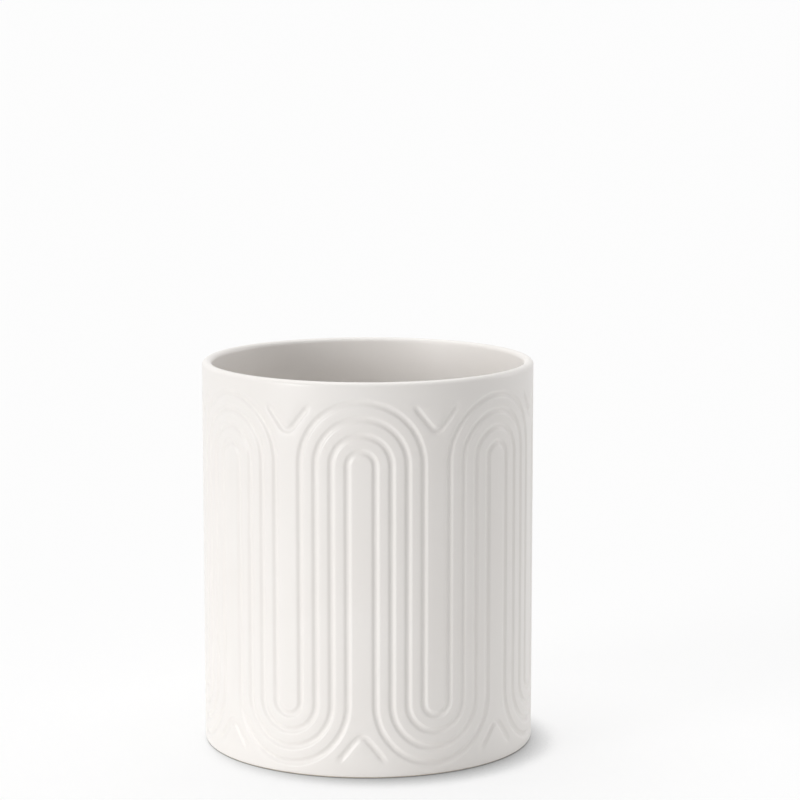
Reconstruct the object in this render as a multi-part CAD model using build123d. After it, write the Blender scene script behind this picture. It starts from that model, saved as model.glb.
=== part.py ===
from build123d import *
import os
from math import atan2, cos, pi, sin, sqrt, tan

# A straight-sided utensil crock, fired in one piece and glazed.
# Four shallow grooves wind round its wall as closed lines, up over seven arches and down
# under the seven between them, with a short chevron in each gap above and below.
# Millimetres, +Z up, origin at the middle of the foot, one arch centred on -Y.

# Overall sizes
outer_diameter = 157.0
height = 183.0

# Wall, floor and foot
wall = 4.5
floor_thickness = 6.0
floor_bevel = 4.0
lip_facets = 5
foot_bevel = 1.4
foot_ring_width = 7.0
foot_recess = 2.5
foot_slope = 1.5

# Grooves, measured on the outer face
arches = 7
grooves_per_arch = 4
groove_spacing = 7.5
groove_width = 3.8
groove_depth = 0.8
upper_centre_drop = 38.0
lower_centre_height = 34.4

# Chevrons, pressed in by a flat tool, so they fade out where the wall curves away from it.
# The half width and the rise reach to where the tool stands clear by the overrun, and the
# inset is from the outermost arch's crown to the chevron's flat.
chevron_half_width = 12.2
chevron_rise = 13.1
chevron_flat = 3.2
chevron_inset = 13.6

# How far every cutter stands proud of the wall
overrun = 0.2

outer_radius = outer_diameter / 2
inner_radius = outer_radius - wall
floor_top = foot_recess + floor_thickness
half_pitch = pi * outer_radius / arches
innermost_half_width = (half_pitch - (grooves_per_arch - 1) * groove_spacing) / 2
upper_centre = height - upper_centre_drop
lower_centre = lower_centre_height
groove_bottom = outer_radius - groove_depth
cutter_top = outer_radius + overrun
cutter_half_width = groove_width / 2 * (groove_depth + overrun) / groove_depth
quarter_turn = pi / 2


def on_wall(along, up, radius):
    """The point `along` round the outer face from -Y towards +X and `up` from the foot."""
    angle = along / outer_radius
    return Vector(radius * sin(angle), -radius * cos(angle), up)


def heading(along, go_along, go_up, radius):
    """A step on the wall at `along`, turned into a vector."""
    angle = along / outer_radius
    go_round = go_along * radius / outer_radius
    return Vector(go_round * cos(angle), go_round * sin(angle), go_up)


def wrapped_arc(centre, bend, start_angle, end_angle, radius):
    """An arc of the flat drawing, a quarter turn at most, laid on the wall."""
    reach = 4 / 3 * tan((end_angle - start_angle) / 4) * bend
    ends = []
    for angle in (start_angle, end_angle):
        along = centre[0] + bend * cos(angle)
        point = on_wall(along, centre[1] + bend * sin(angle), radius)
        ends.append((point, heading(along, -sin(angle) * reach, cos(angle) * reach, radius)))
    (first, leave), (last, arrive) = ends
    return Edge.make_bezier(first, first + leave, last - arrive, last)


def upright_line(along, start_up, end_up, radius):
    """A straight line up or down the wall."""
    return Edge.make_line(on_wall(along, start_up, radius), on_wall(along, end_up, radius))


def winding_rail(half_width, radius):
    """A closed line round the crock, over every upper arch and under every lower one."""
    lower_half_width = half_pitch - half_width
    edges = []
    for arch in range(arches):
        middle = 2 * half_pitch * arch
        upper = (middle, upper_centre)
        lower = (middle + half_pitch, lower_centre)
        right = middle + half_width
        next_left = middle + 2 * half_pitch - half_width
        edges += [
            wrapped_arc(upper, half_width, pi, quarter_turn, radius),
            wrapped_arc(upper, half_width, quarter_turn, 0, radius),
            upright_line(right, upper_centre, lower_centre, radius),
            wrapped_arc(lower, lower_half_width, pi, pi + quarter_turn, radius),
            wrapped_arc(lower, lower_half_width, pi + quarter_turn, 2 * pi, radius),
            upright_line(next_left, lower_centre, upper_centre, radius),
        ]
    return edges


def strips_between(rails):
    """Ruled faces from each rail to the next, and from the last back to the first."""
    following = rails[1:] + rails[:1]
    return [
        Face.make_surface_from_curves(near, far)
        for rail, next_rail in zip(rails, following)
        for near, far in zip(rail, next_rail)
    ]


def groove_cutter(number):
    """The ring that cuts one winding groove, counted from the arch's innermost."""
    half_width = innermost_half_width + number * groove_spacing
    rails = [
        winding_rail(half_width, groove_bottom),
        winding_rail(half_width + cutter_half_width, cutter_top),
        winding_rail(half_width - cutter_half_width, cutter_top),
    ]
    return Solid(Shell(strips_between(rails)))


def chevron_rail(shift, lift):
    """A line along the flat tool, `shift` outside its ridge and `lift` behind it.

    The ridge is at the groove's bottom along the flat, and comes out of the wall at both tips.
    """
    slope = atan2(chevron_rise, chevron_half_width - chevron_flat / 2)
    wall_at_tip = sqrt(outer_radius**2 - chevron_half_width**2)
    lean = (wall_at_tip + overrun - groove_bottom) / chevron_rise

    def on_tool(along, up):
        return Vector(along, -(groove_bottom + lean * up + lift), up)

    corner = (chevron_flat / 2 + shift * tan(slope / 2), -shift)
    tip = (chevron_half_width + shift * sin(slope), chevron_rise - shift * cos(slope))
    points = [
        on_tool(-tip[0], tip[1]),
        on_tool(-corner[0], corner[1]),
        on_tool(*corner),
        on_tool(*tip),
    ]
    return [Edge.make_line(near, far) for near, far in zip(points, points[1:])]


def chevron_cutter():
    """A chevron on -Y, opening upwards, with its flat at the height zero."""
    lift = groove_depth + overrun
    rails = [
        chevron_rail(0, 0),
        chevron_rail(cutter_half_width, lift),
        chevron_rail(-cutter_half_width, lift),
    ]
    left_tip = Face(Wire.make_polygon([rail[0] @ 0 for rail in rails]))
    right_tip = Face(Wire.make_polygon([rail[-1] @ 1 for rail in rails]))
    return Solid(Shell(strips_between(rails) + [left_tip, right_tip]))


def chevron_cutters():
    """Upper chevrons between the upper arches, and lower ones, upside down, under them."""
    outermost = innermost_half_width + (grooves_per_arch - 1) * groove_spacing
    reach = outermost - chevron_inset
    pitch = 360 / arches
    upright = chevron_cutter()
    upper = Pos(0, 0, upper_centre + reach) * upright
    lower = Pos(0, 0, lower_centre - reach) * Rot(0, 180, 0) * upright
    turned_upper = [Rot(0, 0, (arch + 1 / 2) * pitch) * upper for arch in range(arches)]
    turned_lower = [Rot(0, 0, arch * pitch) * lower for arch in range(arches)]
    return turned_upper + turned_lower


def half_round_lip():
    """The wall's top as flat facets that touch a half round in their middles, outside first."""
    facet = pi / (lip_facets + 1)
    lip_radius = wall / 2
    reach = lip_radius / cos(facet / 2)
    turns = [facet * (step + 1 / 2) for step in range(lip_facets + 1)]
    return [
        (outer_radius - lip_radius + reach * cos(turn), height - lip_radius + reach * sin(turn))
        for turn in turns
    ]


def plain_crock():
    """The wall, floor, rounded lip and foot ring, turned about the axis."""
    ring_inside = outer_radius - foot_ring_width
    outline = Polyline(
        (0, foot_recess),
        (ring_inside - foot_slope, foot_recess),
        (ring_inside, 0),
        (outer_radius, 0),
        *half_round_lip(),
        (inner_radius, floor_top),
        (0, floor_top),
        close=True,
    )
    section = make_face(outline)
    foot_edge = section.vertices().group_by(Axis.Y)[0].sort_by(Axis.X)[-1]
    section = chamfer(foot_edge, foot_bevel)
    inside_corner = section.vertices().sort_by_distance((inner_radius, floor_top))[0]
    section = chamfer(inside_corner, floor_bevel)
    return revolve(Plane.XZ * section, Axis.Z)


def crock_body():
    """The crock with all its grooves cut."""
    body = plain_crock()
    for number in range(grooves_per_arch):
        body -= groove_cutter(number)
    return body - chevron_cutters()


os.makedirs("parts", exist_ok=True)
export_step(crock_body(), "parts/crock_body.step")
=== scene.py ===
from math import atan2, cos, hypot, pi, radians, sin

import bmesh
import bpy
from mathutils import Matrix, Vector
from mathutils.geometry import delaunay_2d_cdt


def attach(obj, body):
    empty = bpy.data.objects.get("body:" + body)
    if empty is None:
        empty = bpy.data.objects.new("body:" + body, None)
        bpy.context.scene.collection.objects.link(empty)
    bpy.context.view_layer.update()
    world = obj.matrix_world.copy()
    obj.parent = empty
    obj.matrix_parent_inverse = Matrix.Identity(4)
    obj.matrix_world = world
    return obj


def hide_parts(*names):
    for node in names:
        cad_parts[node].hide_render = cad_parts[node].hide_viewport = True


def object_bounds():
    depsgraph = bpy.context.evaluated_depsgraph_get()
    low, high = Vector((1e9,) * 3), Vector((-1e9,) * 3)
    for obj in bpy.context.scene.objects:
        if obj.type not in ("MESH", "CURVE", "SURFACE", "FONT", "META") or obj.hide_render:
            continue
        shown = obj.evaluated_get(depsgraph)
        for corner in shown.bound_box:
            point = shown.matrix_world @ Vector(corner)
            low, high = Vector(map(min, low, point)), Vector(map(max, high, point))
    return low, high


# A glazed utensil crock, dressed for looks. Metres, +Z up, the foot at the origin.
# The outer face is drawn flat first, `along` round the wall and `up` it, and then wrapped.

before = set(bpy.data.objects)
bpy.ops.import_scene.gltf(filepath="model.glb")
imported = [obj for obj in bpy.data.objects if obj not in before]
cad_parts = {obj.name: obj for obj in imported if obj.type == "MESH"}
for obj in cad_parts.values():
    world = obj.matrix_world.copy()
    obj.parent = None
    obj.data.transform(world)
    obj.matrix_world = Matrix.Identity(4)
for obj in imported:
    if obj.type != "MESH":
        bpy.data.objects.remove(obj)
cad_low, cad_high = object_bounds()

mm = 0.001

# Overall sizes, from the imported solid's bounds
outer_radius = cad_high.x
height = cad_high.z

# Wall, floor and foot, as in the solid, with their edges rounded
wall = 4.5 * mm
floor_thickness = 6 * mm
floor_round = 5 * mm
foot_round = 1.7 * mm
foot_ring_width = 7 * mm
foot_recess = 2.5 * mm
foot_slope = 1.5 * mm
ring_turn_share = 0.8
bare_clay_reach = 0.6 * mm
inner_radius = outer_radius - wall
lip_round = wall / 2
floor_top = foot_recess + floor_thickness

# Winding grooves
arches = 7
grooves_per_arch = 4
groove_spacing = 7.5 * mm
groove_width = 4.2 * mm
groove_flat = 0.6 * mm
groove_depth = 0.8 * mm
half_pitch = pi * outer_radius / arches
innermost = (half_pitch - (grooves_per_arch - 1) * groove_spacing) / 2
outermost = innermost + (grooves_per_arch - 1) * groove_spacing
upper_centre_drop = 38 * mm
upper_centre = height - upper_centre_drop
lower_centre = 34.4 * mm

# Chevrons
chevron_half_width = 12 * mm
chevron_rise = 14.8 * mm
chevron_round = 3.4 * mm
chevron_inset = 13.6 * mm
chevron_fade = 5 * mm

# How finely each form is divided
columns_per_arch = 24
arc_steps = 14
upright_steps = 14
lines_per_groove = 11
chevron_steps = 36
chevron_lines = 11
filler_spacing = 3.4 * mm
filler_gap = 1.2 * mm
filler_row_share = 0.87
line_reach_share = 0.55
round_steps = 7
inside_spacing = 12 * mm
level_spacing = 8 * mm
middle_radius = 1 * mm
weld = 0.002 * mm
same_point = 1e-9

# Finishes, as the mesh's material slots
glazed, bare = 0, 1
grain_height = 0.2 * mm
fine_grain_share = 0.25

# Studio. The floor throws back its near share of the light up to its near reach from the
# crock's middle, and its far share from its far reach on.
floor_reach = 30.0
near_floor_reach = 250 * mm
far_floor_reach = 600 * mm
near_floor_pale_share = 0.97
far_floor_pale_share = 0.6
# How far the painted shadow round the foot reaches, and how dark it gets there
contact_shadow_reach = 30 * mm
contact_shadow_share = 0.24
paper_white_share = 0.98
floor_glow_share = 0.64


def eased(share):
    """A share kept between 0 and 1, with level ends."""
    share = min(1.0, max(0.0, share))
    return share * share * (3 - 2 * share)


def dip(off):
    """How deep a groove is, from 1 along its flat to 0 at half its width."""
    return eased((groove_width / 2 - abs(off)) / ((groove_width - groove_flat) / 2))


def relief_at(half_width):
    """The depth below the wall of the line that winds at this half width."""
    depth = 0.0
    for number in range(grooves_per_arch):
        off = half_width - innermost - number * groove_spacing
        depth += groove_depth * dip(off)
    return depth


def wrapped(along, up, depth=0.0):
    """A point of the flat drawing on the wall, counted from -Y towards +X."""
    angle = along / outer_radius
    radius = outer_radius - depth
    return Vector((radius * sin(angle), -radius * cos(angle), up))


def arc_points(centre, radius, start_angle, end_angle, steps):
    """Points along an arc, both ends included."""
    angles = [start_angle + (end_angle - start_angle) * step / steps for step in range(steps + 1)]
    return [(centre[0] + radius * cos(angle), centre[1] + radius * sin(angle)) for angle in angles]


def winding_line(half_width, arch):
    """The drawn line from one arch's crown to the next one's."""
    middle = 2 * half_pitch * arch
    gap = middle + half_pitch
    fall = lower_centre - upper_centre
    drop = [upper_centre + fall * step / upright_steps for step in range(upright_steps + 1)]
    over = arc_points((middle, upper_centre), half_width, pi / 2, 0, arc_steps)
    down = [(middle + half_width, up) for up in drop[1:-1]]
    under = arc_points((gap, lower_centre), half_pitch - half_width, pi, 2 * pi, 2 * arc_steps)
    rise = [(gap + half_pitch - half_width, up) for up in reversed(drop[1:-1])]
    back = arc_points((middle + 2 * half_pitch, upper_centre), half_width, pi, pi / 2, arc_steps)
    return over + down + under + rise + back


def ribbon_half_widths():
    """Where lines run across the ribbon of grooves: close in each groove, and one per band."""
    rows = [innermost - groove_spacing / 2]
    for number in range(grooves_per_arch):
        middle = innermost + number * groove_spacing
        for line in range(lines_per_groove + 2):
            share = 2 * line / (lines_per_groove + 1) - 1
            rows.append(middle + share * groove_width * line_reach_share)
        rows.append(middle + groove_spacing / 2)
    return rows


ribbon_rows = ribbon_half_widths()


class Skin:
    """Points and faces gathered for one mesh."""

    def __init__(self):
        self.points = []
        self.faces = []
        self.finishes = []

    def add(self, points, faces, finish=glazed):
        first = len(self.points)
        self.points += points
        self.faces += [[first + index for index in face] for face in faces]
        self.finishes += [finish] * len(faces)

    def add_rows(self, rows, finish=glazed, closed=False):
        """Quads between rows of points, which all have as many."""
        count = len(rows[0])
        last = count if closed else count - 1
        points = [point for row in rows for point in row]
        faces = []
        for row in range(len(rows) - 1):
            for column in range(last):
                ahead = (column + 1) % count
                low, high = row * count, (row + 1) * count
                faces.append([low + column, low + ahead, high + ahead, high + column])
        self.add(points, faces, finish)


def add_ribbon(skin):
    """The band of grooves that winds round the crock."""
    for arch in range(arches):
        rows = []
        for half_width in ribbon_rows:
            depth = relief_at(half_width)
            rows.append([wrapped(along, up, depth) for along, up in winding_line(half_width, arch)])
        skin.add_rows(rows)


def chevron_path():
    """A chevron opening upwards from the height zero: points, headings and runs left to a tip."""
    slope = atan2(chevron_rise, chevron_half_width)
    centre = chevron_round
    leave = (chevron_round * sin(slope), centre - chevron_round * cos(slope))
    reach = hypot(chevron_half_width, chevron_rise) - chevron_round * slope / 2
    bend = chevron_round * slope
    path = []
    for step in range(chevron_steps + 1):
        run = (2 * step / chevron_steps - 1) * reach
        side = 1 if run >= 0 else -1
        run = abs(run)
        if run < bend:
            turn = run / chevron_round
            point = (side * chevron_round * sin(turn), centre - chevron_round * cos(turn))
        else:
            turn = slope
            beyond = run - bend
            point = (side * (leave[0] + beyond * cos(slope)), leave[1] + beyond * sin(slope))
        path.append((point, side * turn, reach - run))
    return path


def chevron_grid(middle, level, flip):
    """Rows of (along, up, depth) across and along one chevron. flip is -1 for one upside down."""
    rows = []
    for line in range(chevron_lines):
        off = (line / (chevron_lines - 1) - 0.5) * groove_width
        row = []
        for (along, up), turn, to_tip in chevron_path():
            shifted = (along + off * sin(turn), up - off * cos(turn))
            depth = groove_depth * eased(to_tip / chevron_fade) * dip(off)
            row.append((middle + flip * shifted[0], level + flip * shifted[1], depth))
        rows.append(row)
    return rows


def inside_outline(along, up, outline):
    """True if a point is within a closed outline, by counting the edges to its right."""
    crossings = 0
    for (x0, y0), (x1, y1) in zip(outline, outline[1:] + outline[:1]):
        if (y0 > up) != (y1 > up) and along < x0 + (up - y0) / (y1 - y0) * (x1 - x0):
            crossings += 1
    return crossings % 2 == 1


def on_chevron(along, up, chevron):
    """True if a point lies over a chevron's grid."""
    first = [(x, y) for x, y, _ in chevron[0]]
    last = [(x, y) for x, y, _ in chevron[-1]]
    return inside_outline(along, up, first + last[::-1])


def spaced(start, end, spacing):
    """Even points from start to end, both included, about this far apart."""
    across, rise = end[0] - start[0], end[1] - start[1]
    steps = max(1, round(hypot(across, rise) / spacing))
    return [
        (start[0] + across * step / steps, start[1] + rise * step / steps)
        for step in range(steps + 1)
    ]


def plain_region(outline, chevron):
    """Triangles over the smooth wall within an outline, finer where its chevron is."""
    depths = {}
    points = list(outline)
    for row in chevron:
        for along, up, depth in row:
            depths[len(points)] = depth
            points.append((along, up))
    chevron_edges = [(along, up) for row in (chevron[0], chevron[-1]) for along, up, _ in row]
    guard = chevron_edges + list(outline)
    left, right = min(p[0] for p in outline), max(p[0] for p in outline)
    low, high = min(p[1] for p in outline), max(p[1] for p in outline)
    rows = int((high - low) / (filler_spacing * filler_row_share))
    for row in range(1, rows):
        up = low + (high - low) * row / rows
        along = left + (row % 2) * filler_spacing / 2
        while along < right:
            clear = min(hypot(along - x, up - y) for x, y in guard) > filler_gap
            if clear and inside_outline(along, up, outline) and not on_chevron(along, up, chevron):
                points.append((along, up))
            along += filler_spacing
    count = len(outline)
    edges = [(index, (index + 1) % count) for index in range(count)]
    inside_only = 1
    places = [Vector(p) for p in points]
    flat = delaunay_2d_cdt(places, edges, [], inside_only, same_point)
    wall_points = []
    for place, sources in zip(flat[0], flat[3]):
        wall_points.append(wrapped(place.x, place.y, depths.get(sources[0], 0.0)))
    return wall_points, [list(face) for face in flat[2]]


def closed_by_row(line, left, right, level):
    """A line of the ribbon from left to right, closed by upright sides and a row at a level."""
    turn = line[0][1]
    column = 2 * half_pitch / columns_per_arch
    right_side = spaced((right, turn), (right, level), filler_spacing)
    left_side = spaced((left, level), (left, turn), filler_spacing)
    row = [(right - column * step, level) for step in range(columns_per_arch + 1)]
    return line + right_side[1:-1] + row + left_side[1:-1]


def add_plain_wall(skin):
    """The smooth wall above the ribbon and below it, with a chevron in every gap."""
    reach = outermost - chevron_inset
    for arch in range(arches):
        middle = 2 * half_pitch * arch
        gap = middle + half_pitch
        upper_line = winding_line(ribbon_rows[-1], arch)
        above = closed_by_row(upper_line, middle, middle + 2 * half_pitch, height - lip_round)
        skin.add(*plain_region(above, chevron_grid(gap, upper_centre + reach, 1)))
        # The lower line runs from one gap to the next, so it starts with the last arch's half
        line = winding_line(ribbon_rows[0], arch)
        half = len(line) // 2
        earlier = [(along - 2 * half_pitch, up) for along, up in line[half:]]
        lower_line = earlier[:-1] + line[: half + 1]
        below = closed_by_row(lower_line, gap - 2 * half_pitch, gap, foot_round)
        skin.add(*plain_region(below, chevron_grid(middle, lower_centre - reach, -1)))


def turned_rows(profile):
    """A ring of points for each (radius, up) of a profile, in step with the wall's columns."""
    columns = arches * columns_per_arch
    rows = []
    for radius, up in profile:
        angles = [2 * pi * column / columns for column in range(columns)]
        rows.append([Vector((radius * sin(angle), -radius * cos(angle), up)) for angle in angles])
    return rows


def add_lip_and_inside(skin):
    """Over the rounded lip, down the inner face, round the corner and across the floor."""
    lip_centre = (outer_radius - lip_round, height - lip_round)
    lip = arc_points(lip_centre, lip_round, 0, pi, 2 * round_steps)
    corner_centre = (inner_radius - floor_round, floor_top + floor_round)
    corner = arc_points(corner_centre, floor_round, 0, -pi / 2, round_steps)
    inner = spaced((inner_radius, lip_centre[1]), (inner_radius, corner_centre[1]), inside_spacing)
    floor = spaced((corner_centre[0], floor_top), (middle_radius, floor_top), level_spacing)
    profile = lip + inner[1:-1] + corner + floor[1:]
    skin.add_rows(turned_rows(profile), closed=True)
    close_middle(skin, floor[-1])


def add_foot(skin):
    """Round the foot's outer edge, over the bare ring and up into the glazed recess."""
    ring_inside = outer_radius - foot_ring_width
    edge = arc_points((outer_radius - foot_round, foot_round), foot_round, 0, -pi / 2, round_steps)
    upper_edge = [point for point in edge if point[1] >= bare_clay_reach]
    lower_edge = [point for point in edge if point[1] < bare_clay_reach]
    # The ring's flat is between two rounds, and the inner one meets the slope to the recess
    ring_end = -pi * ring_turn_share
    ring_centre = (ring_inside + foot_round, foot_round)
    ring = arc_points(ring_centre, foot_round, -pi / 2, ring_end, round_steps)
    bare_foot = [upper_edge[-1]] + lower_edge + [((outer_radius + ring_inside) / 2, 0)] + ring
    recess_edge = (ring_inside - foot_slope, foot_recess)
    recess = spaced(recess_edge, (middle_radius, foot_recess), level_spacing)
    skin.add_rows(turned_rows(upper_edge), closed=True)
    skin.add_rows(turned_rows(bare_foot), finish=bare, closed=True)
    skin.add_rows(turned_rows([ring[-1]] + recess), closed=True)
    close_middle(skin, recess[-1])


def close_middle(skin, last):
    """A fan over the small hole that a turned surface leaves on the axis."""
    ring = turned_rows([last])[0]
    count = len(ring)
    fan = [[index, (index + 1) % count, count] for index in range(count)]
    skin.add(ring + [Vector((0, 0, last[1]))], fan)


def crock_mesh():
    """The whole crock as one closed mesh."""
    skin = Skin()
    add_ribbon(skin)
    add_plain_wall(skin)
    add_lip_and_inside(skin)
    add_foot(skin)
    mesh = bpy.data.meshes.new("glazed_crock")
    mesh.from_pydata(skin.points, [], skin.faces)
    mesh.polygons.foreach_set("material_index", skin.finishes)
    work = bmesh.new()
    work.from_mesh(mesh)
    bmesh.ops.remove_doubles(work, verts=work.verts, dist=weld)
    bmesh.ops.recalc_face_normals(work, faces=work.faces)
    work.to_mesh(mesh)
    open_edges = sum(1 for edge in work.edges if not edge.is_manifold)
    print(f"crock mesh: {len(work.verts)} points, {len(work.faces)} faces, {open_edges} open edges")
    work.free()
    mesh.shade_smooth()
    return mesh


def node(tree, kind, place, **settings):
    """A shader node with its settings and the values of its unlinked inputs."""
    made = tree.nodes.new(kind)
    made.location = place
    for name, value in settings.items():
        if name in made.bl_rna.properties:
            setattr(made, name, value)
        else:
            made.inputs[name.replace("_", " ")].default_value = value
    return made


def mottle_group():
    """Slow and fine unevenness of fired clay and glaze, as a tint, a roughness and a height."""
    group = bpy.data.node_groups.new("clay_mottle", "ShaderNodeTree")
    face = group.interface
    given_values = {"Slow Scale": 30.0, "Fine Scale": 900.0, "Smooth": 0.3, "Rough": 0.4}
    for name, value in given_values.items():
        face.new_socket(name, in_out="INPUT", socket_type="NodeSocketFloat").default_value = value
    for name in ("Tint", "Roughness", "Height"):
        face.new_socket(name, in_out="OUTPUT", socket_type="NodeSocketFloat")
    given = node(group, "NodeGroupInput", (-900, 0))
    out = node(group, "NodeGroupOutput", (500, 0))
    where = node(group, "ShaderNodeTexCoord", (-900, -300))
    slow = node(group, "ShaderNodeTexNoise", (-600, 200), Detail=3.0, Roughness=0.55)
    fine = node(group, "ShaderNodeTexNoise", (-600, -200), Detail=4.0, Roughness=0.6)
    spread = {"interpolation_type": "SMOOTHSTEP", "From_Min": 0.2, "From_Max": 0.8}
    tint = node(group, "ShaderNodeMapRange", (-200, 250), **spread)
    rough = node(group, "ShaderNodeMapRange", (-200, 0), **spread)
    height_of_both = node(group, "ShaderNodeMath", (-200, -250), operation="MULTIPLY_ADD")
    height_of_both.inputs[1].default_value = fine_grain_share
    link = group.links.new
    for noise, scale in ((slow, "Slow Scale"), (fine, "Fine Scale")):
        link(where.outputs["Object"], noise.inputs["Vector"])
        link(given.outputs[scale], noise.inputs["Scale"])
    link(slow.outputs["Fac"], tint.inputs["Value"])
    link(slow.outputs["Fac"], rough.inputs["Value"])
    link(given.outputs["Smooth"], rough.inputs["To Min"])
    link(given.outputs["Rough"], rough.inputs["To Max"])
    link(fine.outputs["Fac"], height_of_both.inputs[0])
    link(slow.outputs["Fac"], height_of_both.inputs[2])
    link(tint.outputs["Result"], out.inputs["Tint"])
    link(rough.outputs["Result"], out.inputs["Roughness"])
    link(height_of_both.outputs[0], out.inputs["Height"])
    return group


def fired_material(name, group, colour, deep_colour, values, bump, coat):
    """A fired surface: its colour eased towards a deeper one by the mottle, with a fine bump."""
    material = bpy.data.materials.new(name)
    material.use_nodes = True
    tree = material.node_tree
    shader = tree.nodes["Principled BSDF"]
    shader.location = (300, 0)
    mottle = tree.nodes.new("ShaderNodeGroup")
    mottle.node_tree = group
    mottle.location = (-500, 0)
    for socket, value in values.items():
        mottle.inputs[socket].default_value = value
    # In a colour Mix, sockets 6 and 7 are the colours A and B, and output 2 is their mix
    mix = node(tree, "ShaderNodeMix", (-100, 150), data_type="RGBA")
    mix.inputs[6].default_value = (*deep_colour, 1)
    mix.inputs[7].default_value = (*colour, 1)
    raised = node(tree, "ShaderNodeBump", (0, -250), Strength=bump, Distance=grain_height)
    link = tree.links.new
    link(mottle.outputs["Tint"], mix.inputs[0])
    link(mix.outputs[2], shader.inputs["Base Color"])
    link(mottle.outputs["Roughness"], shader.inputs["Roughness"])
    link(mottle.outputs["Height"], raised.inputs["Height"])
    link(raised.outputs["Normal"], shader.inputs["Normal"])
    shader.inputs["Coat Weight"].default_value = coat
    shader.inputs["Coat Roughness"].default_value = 0.12
    return material


def glaze_material(group):
    """A warm white satin glaze, a little glossier where it lies thick."""
    return fired_material(
        "glazed_stoneware",
        group,
        colour=(0.873, 0.845, 0.816),
        deep_colour=(0.86, 0.828, 0.796),
        values={"Slow Scale": 24.0, "Fine Scale": 520.0, "Smooth": 0.36, "Rough": 0.46},
        bump=0.12,
        coat=0.06,
    )


def bare_clay_material(group):
    """The unglazed ring that the crock stood on in the kiln."""
    return fired_material(
        "bare_clay",
        group,
        colour=(0.72, 0.66, 0.56),
        deep_colour=(0.6, 0.53, 0.43),
        values={"Slow Scale": 160.0, "Fine Scale": 3200.0, "Smooth": 0.75, "Rough": 0.95},
        bump=0.6,
        coat=0.0,
    )


def make_crock():
    """The dressed crock, standing for the solid."""
    piece = bpy.data.objects.new("glazed_crock", crock_mesh())
    bpy.context.scene.collection.objects.link(piece)
    group = mottle_group()
    piece.data.materials.append(glaze_material(group))
    piece.data.materials.append(bare_clay_material(group))
    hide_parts("crock_body")
    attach(piece, "root")


def seen_by_eye(tree):
    """1 where the camera looks straight, by reflection or through glass, and 0 for other light."""
    path = node(tree, "ShaderNodeLightPath", (-900, 500))
    straight_or_gloss = node(tree, "ShaderNodeMath", (-650, 500), operation="MAXIMUM")
    any_way = node(tree, "ShaderNodeMath", (-450, 500), operation="MAXIMUM")
    link = tree.links.new
    link(path.outputs["Is Camera Ray"], straight_or_gloss.inputs[0])
    link(path.outputs["Is Glossy Ray"], straight_or_gloss.inputs[1])
    link(straight_or_gloss.outputs[0], any_way.inputs[0])
    link(path.outputs["Is Transmission Ray"], any_way.inputs[1])
    return any_way.outputs[0]


def paleness(tree):
    """How much light the floor throws back: most near the crock, to light its lower part."""
    where = node(tree, "ShaderNodeTexCoord", (-900, -300))
    away = node(tree, "ShaderNodeVectorMath", (-700, -300), operation="LENGTH")
    pale = node(
        tree,
        "ShaderNodeMapRange",
        (-500, -300),
        interpolation_type="SMOOTHSTEP",
        From_Min=near_floor_reach,
        From_Max=far_floor_reach,
        To_Min=near_floor_pale_share,
        To_Max=far_floor_pale_share,
    )
    link = tree.links.new
    link(where.outputs["Object"], away.inputs[0])
    link(away.outputs["Value"], pale.inputs["Value"])
    return pale.outputs["Result"]


def shadowed_paper(tree):
    """White paper with a painted shadow close round the foot: an occlusion node darkens its colour
    and its glow there.
    """
    # The leaned normal lays the shadow in front of the foot and to its right, away from the key
    lean = node(tree, "ShaderNodeCombineXYZ", (-1100, 100), X=-0.35, Y=0.52, Z=0.8)
    near = node(tree, "ShaderNodeAmbientOcclusion", (-900, 100), Distance=contact_shadow_reach)
    contact = node(tree, "ShaderNodeMapRange", (-650, 100), From_Min=0.2, From_Max=0.7)
    contact.inputs["To Min"].default_value = contact_shadow_share
    # The paper's colour and its glow both carry the painted shadow, darkest at the foot
    painted_shadow_paper_colour = node(tree, "ShaderNodeMath", (-480, 150), operation="MULTIPLY")
    painted_shadow_paper_colour.inputs[1].default_value = paper_white_share
    paper = node(tree, "ShaderNodeBsdfDiffuse", (-300, 100))
    glow = node(tree, "ShaderNodeEmission", (-300, -100))
    whiter = node(tree, "ShaderNodeMixShader", (-50, 50))
    whiter.inputs[0].default_value = floor_glow_share
    link = tree.links.new
    link(lean.outputs["Vector"], near.inputs["Normal"])
    link(near.outputs["AO"], contact.inputs["Value"])
    link(contact.outputs["Result"], painted_shadow_paper_colour.inputs[0])
    link(painted_shadow_paper_colour.outputs[0], paper.inputs["Color"])
    link(contact.outputs["Result"], glow.inputs["Color"])
    link(paper.outputs["BSDF"], whiter.inputs[1])
    link(glow.outputs["Emission"], whiter.inputs[2])
    return whiter.outputs[0]


def floor_material():
    """A pale floor that lights the crock. The eye sees white paper in it, and through its back."""
    material = bpy.data.materials.new("studio_floor")
    material.use_nodes = True
    tree = material.node_tree
    shader = tree.nodes["Principled BSDF"]
    shader.inputs["Roughness"].default_value = 1.0
    shader.inputs["Specular IOR Level"].default_value = 0.0
    seen = node(tree, "ShaderNodeMixShader", (300, 200))
    side = node(tree, "ShaderNodeNewGeometry", (0, 400))
    clear = node(tree, "ShaderNodeBsdfTransparent", (300, -100))
    mix = node(tree, "ShaderNodeMixShader", (550, 100))
    link = tree.links.new
    link(paleness(tree), shader.inputs["Base Color"])
    link(seen_by_eye(tree), seen.inputs[0])
    link(shader.outputs["BSDF"], seen.inputs[1])
    link(shadowed_paper(tree), seen.inputs[2])
    link(side.outputs["Backfacing"], mix.inputs[0])
    link(seen.outputs[0], mix.inputs[1])
    link(clear.outputs["BSDF"], mix.inputs[2])
    link(mix.outputs[0], tree.nodes["Material Output"].inputs["Surface"])
    return material


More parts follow.
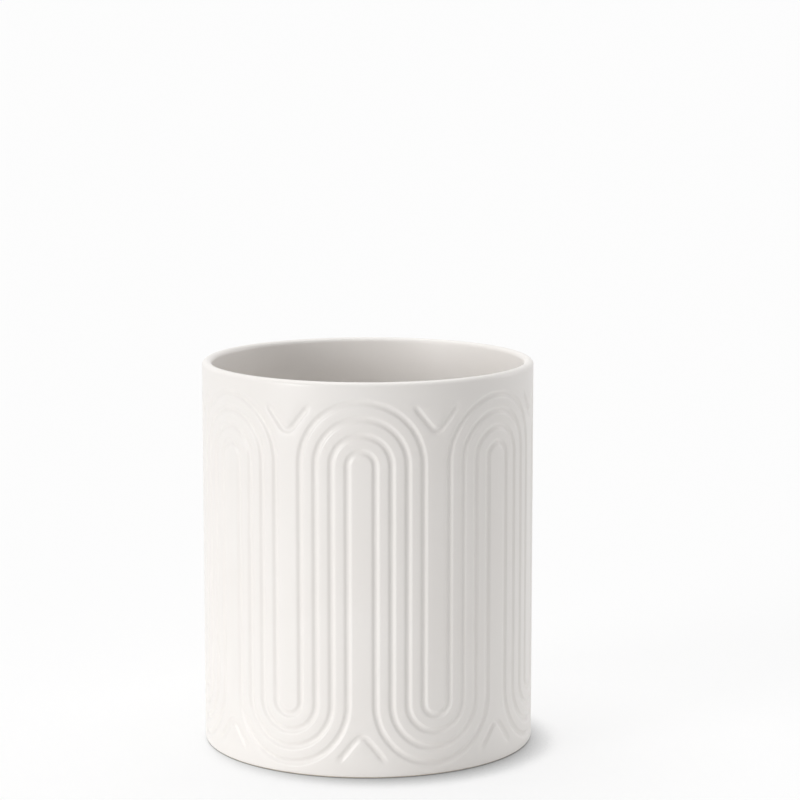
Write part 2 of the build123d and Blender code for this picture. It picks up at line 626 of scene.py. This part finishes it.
def make_floor():
    """A wide flat floor, open under the foot so that a view from below shows the underside lit."""
    rings = [floor_reach, floor_reach / 10, floor_reach / 100, outer_radius - foot_round]
    skin = Skin()
    skin.add_rows(turned_rows([(radius, 0) for radius in rings]), closed=True)
    mesh = bpy.data.meshes.new("studio_floor")
    mesh.from_pydata(skin.points, [], skin.faces)
    mesh.materials.append(floor_material())
    floor = bpy.data.objects.new("studio_floor", mesh)
    bpy.context.scene.collection.objects.link(floor)


def make_world(fill):
    """Even light from all round, which the camera and reflections see as plain white."""
    world = bpy.data.worlds.new("studio")
    bpy.context.scene.world = world
    world.use_nodes = True
    tree = world.node_tree
    light = tree.nodes["Background"]
    light.inputs["Color"].default_value = (1, 1, 1, 1)
    light.inputs["Strength"].default_value = fill
    white = node(tree, "ShaderNodeBackground", (0, -200), Color=(1, 1, 1, 1), Strength=1.0)
    mix = node(tree, "ShaderNodeMixShader", (250, 0))
    link = tree.links.new
    link(seen_by_eye(tree), mix.inputs[0])
    link(light.outputs[0], mix.inputs[1])
    link(white.outputs[0], mix.inputs[2])
    link(mix.outputs[0], tree.nodes["World Output"].inputs["Surface"])


def make_sun(name, azimuth, elevation, strength, softness):
    """A lamp as far as the sun. Azimuth 0 is in front, at -Y, and -90 is on the left."""
    lamp = bpy.data.lights.new(name, "SUN")
    lamp.energy = strength
    lamp.angle = radians(softness)
    sun = bpy.data.objects.new(name, lamp)
    turn, lift = radians(azimuth), radians(elevation)
    towards = Vector((sin(turn) * cos(lift), -cos(turn) * cos(lift), sin(lift)))
    sun.rotation_euler = towards.to_track_quat("Z", "Y").to_euler()
    bpy.context.scene.collection.objects.link(sun)


def make_camera():
    """The photograph's view: a long lens from a little above, just right of an arch's middle."""
    distance, eye_height = 1.3613, 0.3760
    swing, pan, tilt = radians(2.2), radians(0.642), radians(8.89)
    lens = bpy.data.cameras.new("camera")
    # The lens and the sensor are in millimetres
    lens.sensor_width = 36.0
    lens.lens = 130.42
    lens.clip_end = 100.0
    camera = bpy.data.objects.new("camera", lens)
    camera.location = (distance * sin(swing), -distance * cos(swing), eye_height)
    camera.rotation_euler = (pi / 2 - tilt, 0, swing - pan)
    bpy.context.scene.collection.objects.link(camera)
    bpy.context.scene.camera = camera


make_camera()
make_floor()
make_world(fill=0.4)
make_sun("key", azimuth=-51, elevation=7, strength=1.62, softness=26)
make_sun("side", azimuth=112, elevation=8, strength=0.46, softness=30)
make_sun("overhead", azimuth=-165, elevation=78, strength=1.52, softness=60)
make_crock()
bpy.context.scene.view_settings.view_transform = "Standard"
